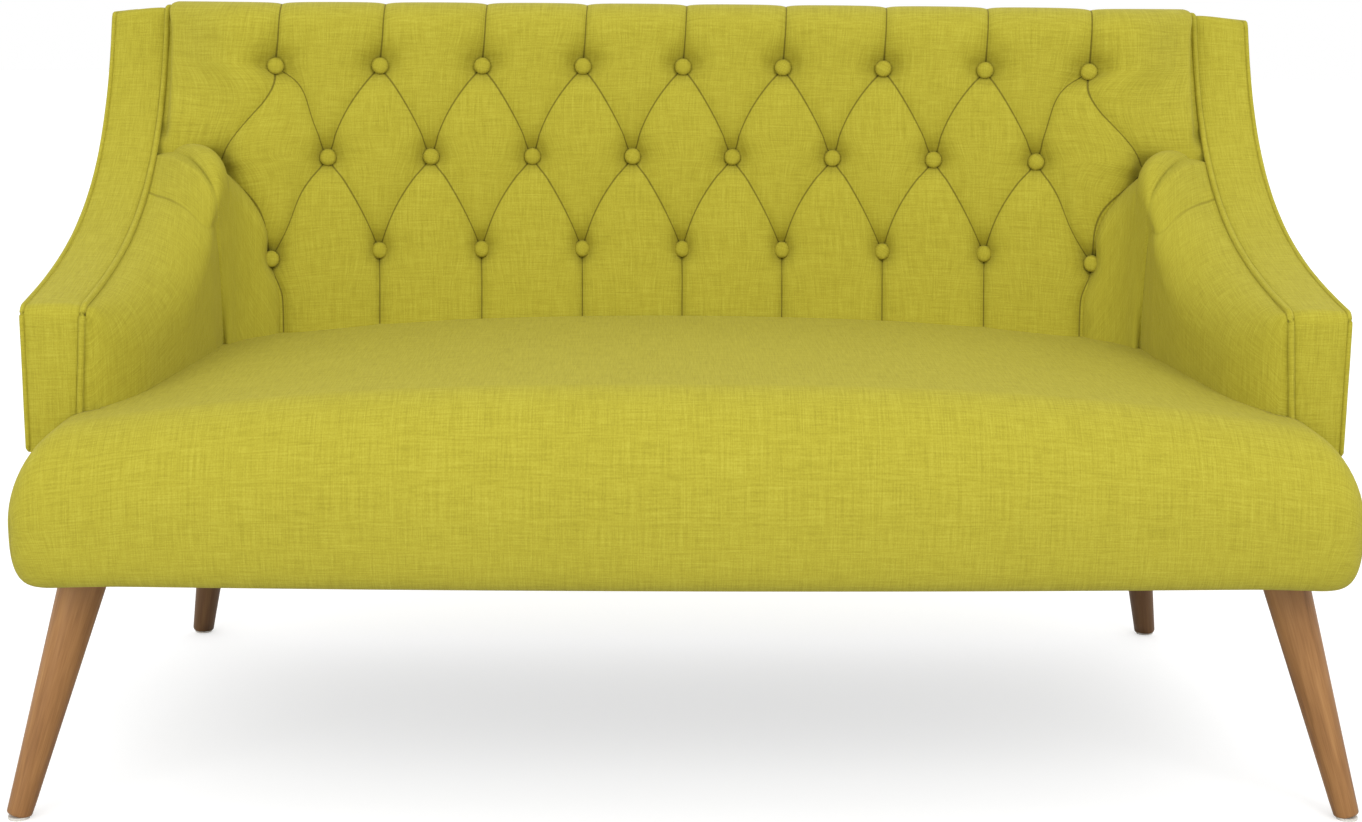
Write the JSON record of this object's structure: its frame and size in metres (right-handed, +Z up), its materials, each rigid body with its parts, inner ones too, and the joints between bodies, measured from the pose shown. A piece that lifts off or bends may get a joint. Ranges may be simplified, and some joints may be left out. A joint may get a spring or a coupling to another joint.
{
  "type": "upholstered two-seat sofa",
  "caption": "Compact upholstered sofa with sloping wing arms, a diamond-tufted buttoned back, one bench seat with a rounded nose and splayed tapered wooden legs.",
  "frame": {"origin": "on the floor, under the middle of the sofa's width and depth", "axes": "+X to the right as seen from the front, +Y to the rear, +Z up; left and right in node names are as seen from the front"},
  "size_m": [1.3992, 0.74, 0.815],
  "materials": {
    "cover_fabric": "matt chartreuse linen-look weave with slubs",
    "frame_timber": "planed softwood and plywood, raw",
    "leg_wood": "turned hardwood, stained light walnut, satin lacquer",
    "foam": "cut upholstery foam",
    "spring_steel": "oiled spring wire",
    "zinc_steel": "bright zinc plate",
    "dust_cloth": "black spun-bonded cloth",
    "glide_nylon": "off-white nylon"
  },
  "bodies": {
    "root": {"seat_front_rail": "frame_timber", "seat_rear_rail": "frame_timber", "seat_side_rail_left": "frame_timber", "seat_side_rail_right": "frame_timber", "front_corner_block_left": "frame_timber", "front_corner_block_right": "frame_timber", "rear_corner_block_left": "frame_timber", "rear_corner_block_right": "frame_timber", "arm_side_panel_left": "frame_timber", "arm_side_panel_right": "frame_timber", "arm_front_post_left": "frame_timber", "arm_front_post_right": "frame_timber", "arm_top_rail_left": "frame_timber", "arm_top_rail_right": "frame_timber", "back_upright_left": "frame_timber", "back_upright_right": "frame_timber", "back_top_rail": "frame_timber", "back_board": "frame_timber", "seat_cover": "cover_fabric", "back_cover": "cover_fabric", "inside_arm_cover_left": "cover_fabric", "inside_arm_cover_right": "cover_fabric", "arm_facing_left": "cover_fabric", "arm_facing_right": "cover_fabric", "outside_arm_cover_left": "cover_fabric", "outside_arm_cover_right": "cover_fabric", "outside_back_cover": "cover_fabric", "inner_piping_left": "cover_fabric", "inner_piping_right": "cover_fabric", "outer_piping_left": "cover_fabric", "outer_piping_right": "cover_fabric", "tufting_buttons_top": "cover_fabric", "tufting_buttons_middle": "cover_fabric", "tufting_buttons_bottom": "cover_fabric", "seat_foam": "foam", "back_foam": "foam", "arm_foam_left": "foam", "arm_foam_right": "foam", "seat_spring_1": "spring_steel", "seat_spring_2": "spring_steel", "seat_spring_3": "spring_steel", "seat_spring_4": "spring_steel", "seat_spring_5": "spring_steel", "front_leg_left": "leg_wood", "front_leg_right": "leg_wood", "rear_leg_left": "leg_wood", "rear_leg_right": "leg_wood", "front_leg_bolt_left": "zinc_steel", "front_leg_bolt_right": "zinc_steel", "rear_leg_bolt_left": "zinc_steel", "rear_leg_bolt_right": "zinc_steel", "front_leg_plate_left": "zinc_steel", "front_leg_plate_right": "zinc_steel", "rear_leg_plate_left": "zinc_steel", "rear_leg_plate_right": "zinc_steel", "dust_cover": "dust_cloth", "front_leg_glide_left": "glide_nylon", "front_leg_glide_right": "glide_nylon", "rear_leg_glide_left": "glide_nylon", "rear_leg_glide_right": "glide_nylon"}
  },
  "joints": []
}
